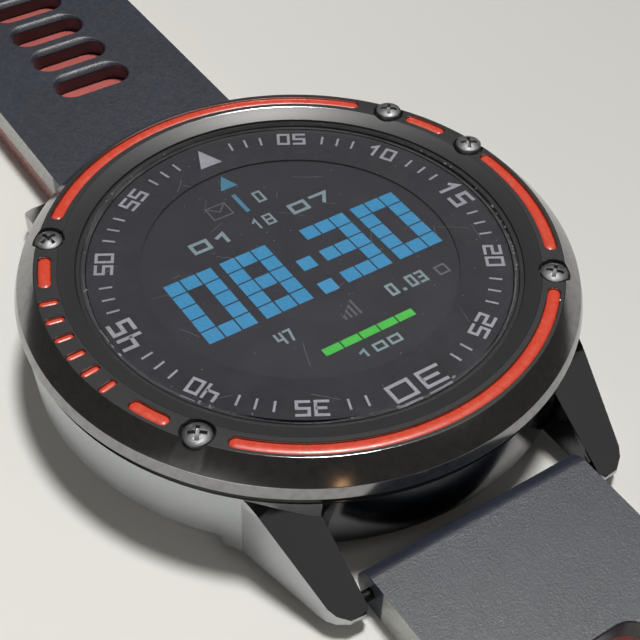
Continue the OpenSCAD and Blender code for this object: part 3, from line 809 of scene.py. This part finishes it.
# Other numbers: digits, width, height, gap, line and centre
SCREEN_NUMBERS = (("01", 1.9, 1.45, 0.5, 0.34, (-5.4, 6.3)), ("18", 0.95, 1.45, 0.35, 0.2, (0, 6.3)),
                  ("07", 1.9, 1.45, 0.5, 0.34, (5.1, 6.3)), ("0", 0.9, 1.55, 0, 0.22, (1.55, 9.5)),
                  ("47", 0.75, 1.45, 0.15, 0.22, (-6.2, -7.15)),
                  ("0.03", 0.85, 1.45, 0.2, 0.25, (6.4, -7.25)),
                  ("100", 1.2, 0.95, 0.35, 0.22, (0, -12.2)))


def make_print():
    """Numerals, ticks and the 12 o'clock triangle on the dial ring."""
    z0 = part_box("dial_plate")[1].z / MM
    z1 = z0 + INK_T
    parts = []
    for minute in range(5, 60, 5):
        angle = minute * 6
        width, height, gap, line = 1.25, 1.7, 0.28, 0.27
        if minute in (15, 45):
            width, height, gap, line = 1.5, 2.25, 0.4, 0.36
        elif minute == 30:
            width, height, gap, line = 2.3, 2.0, 0.7, 0.32
        glyphs = digits(f"{minute:02d}", width, height, gap, line, z0, z1)
        parts.append(place(glyphs, angle, clock(angle, NUMERAL_R)))
    for k in range(12):
        for step in (10, 15, 20):
            angle = 30 * k + step
            if angle in (170, 190):  # the wide 30 needs their room
                continue
            corners = [(-TICK_HALF, TICK_R0), (TICK_HALF, TICK_R0), (TICK_HALF, TICK_R1),
                       (-TICK_HALF, TICK_R1)]
            parts.append(place(prism(corners, z0, z1), angle))
    parts.append(prism(TRIANGLE, z0, z1))
    made = add_mesh("dial_print", *merge(parts), printed("print_grey", (0.31, 0.31, 0.36)))
    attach(made, "case")


def make_wear():
    """Hairline scratches on the glass and small chips along its edge."""
    glass_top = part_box("crystal")[1].z / MM
    pick = random.Random(7)
    parts = []
    for _ in range(HAIRS):
        angle, r = pick.uniform(0, 360), HAIR_REACH * math.sqrt(pick.random())
        turn = pick.uniform(-25, 25)
        length, width = pick.uniform(0.6, 3.2), pick.uniform(0.012, 0.022)
        x, y = clock(angle, r)
        hair = [(x - length / 2, y), (x, y + pick.uniform(-0.08, 0.08)), (x + length / 2, y)]
        hair = stroke([(a - x, b - y) for a, b in hair], width, glass_top, glass_top + SCRATCH_T)
        parts.append(place(hair, turn + pick.choice((0, 55, 120)), (x, y)))
    angles = [pick.uniform(92, 128) for _ in range(CHIPS_NEAR_4)]
    angles += [pick.uniform(0, 360) for _ in range(CHIPS_ROUND)]
    for angle in angles:
        size = pick.uniform(0.06, 0.2)
        corners = [(size * pick.uniform(0.5, 1) * math.cos(a), size * pick.uniform(0.3, 0.7) * math.sin(a))
                   for a in [math.pi / 3 * k for k in range(6)]]
        parts.append(place(prism(corners, glass_top - 0.05, glass_top + SCRATCH_T), angle,
                           clock(angle, CHIP_R + pick.uniform(-0.15, 0.05))))
    made = add_mesh("glass_wear", *merge(parts), printed("scratch_grey", (0.24, 0.24, 0.25)))
    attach(made, "case")


def make_screen():
    """What the screen shows: time, date, counters, level bar and small icons."""
    z0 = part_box("lcd_panel")[1].z / MM
    z1 = z0 + INK_T

    def rectangle(x, y, width, height):
        """Slab whose lower left corner is (x, y)."""
        return prism([(x, y), (x + width, y), (x + width, y + height), (x, y + height)], z0, z1)

    def square(x, top):
        """One block of the time, whose upper left corner is (x, top)."""
        return prism([(x, top - BLOCK), (x + BLOCK, top - BLOCK), (x + BLOCK, top), (x, top)], z0, z1)

    blocks = []
    for mark, x0 in TIME:
        for row, line in enumerate(BLOCK_MAPS[mark]):
            for column, bit in enumerate(line):
                if bit == "1":
                    blocks.append(square(x0 + column * BLOCK_PITCH, TIME_TOP - row * BLOCK_PITCH))
    blocks += [square(-0.4, 0.2), square(-0.4, -3.2)]
    time = add_mesh("screen_time", *merge(blocks), lit("segment_blue", (0.004, 0.235, 0.48), 0.6))

    arrow = [prism([(-1.1, 12), (0.7, 12), (0, 13.9)], z0, z1), rectangle(-0.6, 8.2, 0.4, 2.75)]
    pointer = add_mesh("screen_pointer", *merge(arrow), lit("segment_blue_dim", (0.03, 0.19, 0.32), 0.5))

    levels = [rectangle(-4.45 + 1.88 * i, -10.82, 1.72, 0.82) for i in range(5)]
    level = add_mesh("screen_level", *merge(levels), lit("segment_green", (0.02, 0.42, 0.02), 0.72))

    texts = [place(digits(*sizes, z0, z1), 0, centre) for *sizes, centre in SCREEN_NUMBERS]
    text = add_mesh("screen_numbers", *merge(texts), lit("segment_teal", (0.17, 0.24, 0.26), 0.7))

    envelope = [(-3.7, 8.75), (-3.7, 10.45), (-1.7, 10.45), (-1.7, 8.75)]
    icons = [stroke(envelope, 0.12, z0, z1, True),
             stroke([(-3.55, 10.3), (-2.7, 9.5), (-1.85, 10.3)], 0.12, z0, z1)]
    icons += [stroke([(-0.6 + 0.5 * i, -8.2), (-0.6 + 0.5 * i, -7.7 + 0.45 * i)], 0.2, z0, z1)
              for i in range(4)]
    icons.append(stroke([(9.6, -8), (9.6, -7), (10.6, -7), (10.6, -8)], 0.2, z0, z1, True))
    icon = add_mesh("screen_icons", *merge(icons), lit("segment_grey", (0.07, 0.075, 0.085), 0.7))
    for made in (time, pointer, level, text, icon):
        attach(made, "case")


# ---------- strap, in millimetres ----------

BAR_Y, FLAT_Y, RAMP_Y = 27.3, 58.0, 72.0
PIN_Y, PIN_NOSE_R = 108.0, 1.6
TAIL_Y, TAIL_R = 147.3, 12
END_T, RED_SHARE, LIFT = 3.2, 0.45, 1.3
END_RED = END_T * RED_SHARE
NOTCH_L, NOTCH_HALF = 2.6, 3.9
# Slots: spacing, half length, end radius, and half width of the mesh cell round each
PITCH, SLOT_HALF, SLOT_R = 5.65, 4.3, 1.9
CELL_X = 8.0
PLAIN_ROWS = [33, 36, FLAT_Y, 62, 67, RAMP_Y, 80, 90, 100]


def ease(y, a, b):
    """0 below a, 1 above b and straight between."""
    return min(1.0, max(0.0, (y - a) / (b - a)))


def half_width(y, tail):
    """Half the strap's width at y. tail is the y of a rounded end, or None."""
    wide = 11 - ease(y, FLAT_Y, RAMP_Y)
    if tail and y > tail - TAIL_R:
        wide = min(wide, math.sqrt(max(0.0, TAIL_R ** 2 - (y - tail + TAIL_R) ** 2)))
    return wide


def slot_loop(yc):
    """Points round a slot as (hole point, outward direction, cell point), anticlockwise."""
    across, along = 12, 6
    straight = SLOT_HALF - SLOT_R
    loop = []

    def arc(cx, degrees):
        """Point on a round slot end centred at x = cx, and its outward direction."""
        a = math.radians(degrees)
        out = Vector((math.cos(a), math.sin(a)))
        return Vector((cx, 0)) + out * SLOT_R, out

    cell_y = PITCH / 2
    for side in (1, -1):  # right half then left half, each from its lower corner up or down
        for i in range(along):
            t = i / along
            p, out = arc(side * straight, -45 + 90 * t if side > 0 else 135 + 90 * t)
            loop.append((p, out, Vector((side * CELL_X, side * cell_y * (2 * t - 1)))))
        for i in range(across):
            t = i / across
            x = side * CELL_X * (1 - 2 * t)
            if t < 0.25:
                p, out = arc(side * straight, (45 if side > 0 else 225) + 45 * t / 0.25)
            elif t <= 0.75:
                out = Vector((0, side))
                p = Vector((side * straight * (1 - 4 * (t - 0.25)), side * SLOT_R))
            else:
                p, out = arc(-side * straight, (90 if side > 0 else 270) + 45 * (t - 0.75) / 0.25)
            loop.append((p, out, Vector((x, side * cell_y))))
    centre = Vector((0, yc))
    return [(p + centre, out, cell + centre) for p, out, cell in loop]


def strap_plan(y0, y1, slot_y, slots, lip, tail, rows, notch=None):
    """Flat mesh of a strap as ([(x, y, drop)], faces): drop is how far the top is lowered there.

    lip rounds the slots' upper edges, and notch is the start and half width of a cut-out end."""
    verts, faces = [], []
    index = {}

    def vertex(x, y, drop=0.0):
        """Index of the vertex at (x, y), made when it is new."""
        key = (round(x, 4), round(y, 4))
        if key not in index:
            index[key] = len(verts)
            verts.append((x, y, drop))
        return index[key]

    def edge_xs(y):
        """Where the mesh's lengthwise lines cross y."""
        wide = half_width(y, tail)
        inner = [-CELL_X + 2 * CELL_X * i / 12 for i in range(13)]
        scale = min(1.0, (wide - 0.01) / CELL_X * 0.86)
        inner = [x * scale for x in inner]
        outer = [(wide + inner[-1]) / 2, wide]
        return [-x for x in outer[::-1]] + inner + outer

    cell_rows = []
    first = slot_y - PITCH / 2
    last = first + slots * PITCH
    for i in range(slots):
        cell_rows += [first + i * PITCH + PITCH * k / 6 for k in range(6)]
    cell_rows.append(last)
    plain = sorted(set([y0, y1] + [y for y in rows if y0 < y < y1 and not first < y < last]))
    ys = sorted(set([round(y, 5) for y in plain + cell_rows]))
    inside = [first - 1e-6 < (a + b) / 2 < last + 1e-6 for a, b in zip(ys, ys[1:])]
    for (a, b), slotted in zip(zip(ys, ys[1:]), inside):
        xa, xb = edge_xs(a), edge_xs(b)
        for k in range(len(xa) - 1):
            if slotted and 2 <= k < len(xa) - 3:
                continue
            if notch and notch[0] <= (a + b) / 2 and abs(xa[k] + xa[k + 1]) / 2 < notch[1]:
                continue
            corners = [(xa[k], a), (xa[k + 1], a), (xb[k + 1], b), (xb[k], b)]
            face = []
            for x, y in corners:
                i = vertex(x, y)
                if i not in face:
                    face.append(i)
            if len(face) > 2:
                faces.append(face)
    steps = [0.0, 0.12, 0.3, 0.55, 0.8, 1.0]
    for s in range(slots):
        loop = slot_loop(slot_y + s * PITCH)
        n = len(loop)
        rings = []
        for t in steps:
            ring = []
            for p, out, cell in loop:
                far = max(0.0, out.y) * ease(SLOT_HALF - abs(p.x), 0.0, 1.6) if lip else 0.0
                width, depth = 0.16 + 0.6 * far, 0.14 + 0.4 * far
                q = p + out * width * t
                drop = depth * (1 - math.sin(math.pi / 2 * t)) if lip else 0.0
                key = (round(q.x, 4), round(q.y, 4))
                index.pop(key, None)
                ring.append(vertex(q.x, q.y, drop))
            rings.append(ring)
            if not lip:
                break
        rings.append([vertex(c.x, c.y) for _, _, c in loop])
        for a, b in zip(rings, rings[1:]):
            faces += [[a[i], b[i], b[(i + 1) % n], a[(i + 1) % n]] for i in range(n)]
    return verts, faces


def solid_from_plan(plan, z_top, z_low):
    """Closed mesh between two height functions of y. Points whose heights meet are merged later."""
    verts, faces = plan
    n = len(verts)
    made = [(x, y, z_top(y) - drop) for x, y, drop in verts] + [(x, y, z_low(y)) for x, y, _ in verts]
    count = {}
    for f in faces:
        for a, b in zip(f, f[1:] + f[:1]):
            count[(a, b)] = count.get((a, b), 0) + 1
    walls = [(a, b) for a, b in count if (b, a) not in count]
    solid = [list(f) for f in faces] + [[n + i for i in f[::-1]] for f in faces]
    solid += [[a, n + a, n + b, b] for a, b in walls]
    return made, solid


def nose_drop(y, centre, r):
    """Height of a round nose of radius r below its full half thickness."""
    d = abs(y - centre)
    return r - math.sqrt(max(0.0, r * r - d * d))


def finish_strap(made, width, segments, flipped):
    """Cleans the mesh, rounds its edges and turns the 6 o'clock half about z."""
    bm = bmesh.new()
    bm.from_mesh(made.data)
    bmesh.ops.remove_doubles(bm, verts=bm.verts, dist=0.0005 * MM)
    bmesh.ops.dissolve_degenerate(bm, edges=bm.edges, dist=0.0005 * MM)
    bmesh.ops.recalc_face_normals(bm, faces=bm.faces)
    if flipped:
        bmesh.ops.rotate(bm, verts=bm.verts, matrix=Matrix.Rotation(math.pi, 3, "Z"))
    for face in bm.faces:
        face.smooth = True
    bm.to_mesh(made.data)
    bm.free()
    bevel = made.modifiers.new("bevel", "BEVEL")
    bevel.width, bevel.segments = width * MM, segments
    bevel.limit_method, bevel.angle_limit = "ANGLE", math.radians(50)
    bevel.use_clamp_overlap = True
    weigh_normals(made)


def window_pads(first_y, count):
    """Raised pads of the red layer that close the dark layer's windows."""
    half, levels = SLOT_R - 0.02, ((0, 1.0), (0, 2.6), (-0.06, 2.71), (-0.2, 2.75))
    reach = SLOT_HALF - SLOT_R
    spines = [[(side * reach, first_y + PITCH * i) for side in (-1, 1)] for i in range(count)]
    return [bar_solid(spine, [(0, 1), (0, 1)], [(half + d, z) for d, z in levels]) for spine in spines]


def make_strap(dark, red, name, thick, red_y, slot_y, slots, red_slots, lift, tail):
    """One strap half: its dark and red layers.

    red_y is where the red layer starts, slot_y the first slot, slots and red_slots the numbers of
    slots in the two layers, and lift how far the thin part lies over the table."""
    flat_red, nose_r = thick * RED_SHARE, thick / 2
    end = tail or PIN_Y
    full_end = end if tail else end + PIN_NOSE_R
    red_end = end - (3 if tail else 5)

    def ends_drop(y):
        """How far a round nose at the lugs or the buckle narrows the strap from above and below."""
        if y < BAR_Y:
            return nose_drop(y, BAR_Y, nose_r)
        if not tail and y > PIN_Y:
            return nose_drop(y, PIN_Y, PIN_NOSE_R)
        return 0.0

    def red_top(y):
        return flat_red + (lift + END_RED - flat_red) * ease(y, FLAT_Y, RAMP_Y)

    def red_low(y):
        return lift * ease(y, FLAT_Y, RAMP_Y)

    def z_top(y):
        return thick + (lift + END_T - thick) * ease(y, FLAT_Y, RAMP_Y) - ends_drop(y)

    def z_low(y):
        return red_top(y) if red_y < y < red_end else red_low(y) + ends_drop(y)

    rows = [BAR_Y - nose_r * math.sin(math.pi / 2 * k / 9) for k in range(10)]
    rows += [red_y - 0.01, red_y + 0.01, red_end - 0.01, red_end + 0.01, end - NOTCH_L] + PLAIN_ROWS
    if tail:
        rows += [tail - TAIL_R + TAIL_R * math.sin(math.pi / 2 * k / 12) for k in range(12)]
    else:
        rows += [PIN_Y + PIN_NOSE_R * math.sin(math.pi / 2 * k / 7) for k in range(7)]
    y_first = BAR_Y - nose_r + 0.004
    y_last = full_end - (0.12 if tail else 0.004)
    notch = None if tail else (end - NOTCH_L, NOTCH_HALF)
    plan = strap_plan(y_first, y_last, slot_y, slots, True, tail, rows, notch)
    upper = add_mesh(f"silicone_{name}_dark", *solid_from_plan(plan, z_top, z_low), dark)
    finish_strap(upper, 0.28, 3, bool(tail))

    low_rows = PLAIN_ROWS + ([y for y in rows if tail - TAIL_R <= y] if tail else [])
    plan = strap_plan(red_y, red_end, slot_y, red_slots, False, tail, low_rows)
    body = solid_from_plan(plan, red_top, red_low)
    if not red_slots:
        body = merge([body] + window_pads(slot_y, slots))
    lower = add_mesh(f"silicone_{name}_red", *body, red)
    finish_strap(lower, 0.2, 2, bool(tail))
    for piece, node, slot in ((upper, "upper", "strap_dark"), (lower, "lower", "strap_red")):
        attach(piece, f"strap_{name}")
        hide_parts(f"strap_{name}_{node}")


def make_straps():
    """Both strap halves and the finish of their loops."""
    # The last colour of each is painted on the outer walls: a pale painted reflection of the table on the
    # dark silicone, painted shade on the red.
    dark = rubber("silicone_dark", (0.017, 0.0215, 0.037), 0.36, 0.46, (0.43, 0.445, 0.43))
    red = rubber("silicone_red", (0.46, 0.08, 0.066), 0.45, 0.6, (0.24, 0.075, 0.055), 0.02)
    make_strap(dark, red, "12", 4.7, 29.5, 42.0, 5, 0, LIFT, None)
    make_strap(dark, red, "6", 3.7, 38.0, 42.5, 16, 16, 0.0, TAIL_Y)
    paint(dark, "fixed_keeper", "free_keeper")
    for name in ("fixed_keeper", "free_keeper"):
        round_edges(name, 0.35, 3)


def make_floor():
    """Plain pale table top at z = 0."""
    bpy.ops.mesh.primitive_grid_add(x_subdivisions=8, y_subdivisions=8, size=FLOOR_SIZE)
    made = bpy.context.object
    made.name = "floor"
    made.data.materials.append(floor_paint())


make_camera()
make_world()
make_sun("key_light", 60, 78, 2.42, 11, (1.0, 0.985, 0.955))
make_area("low_glow", 198, 30, 0.5, 0.03, 0.006, (1.0, 0.55, 0.25))
make_floor()
finish_nodes()
make_bezel()
make_enamel()
make_print()
make_screen()
make_wear()
make_straps()

bpy.context.scene.view_settings.view_transform = "Standard"
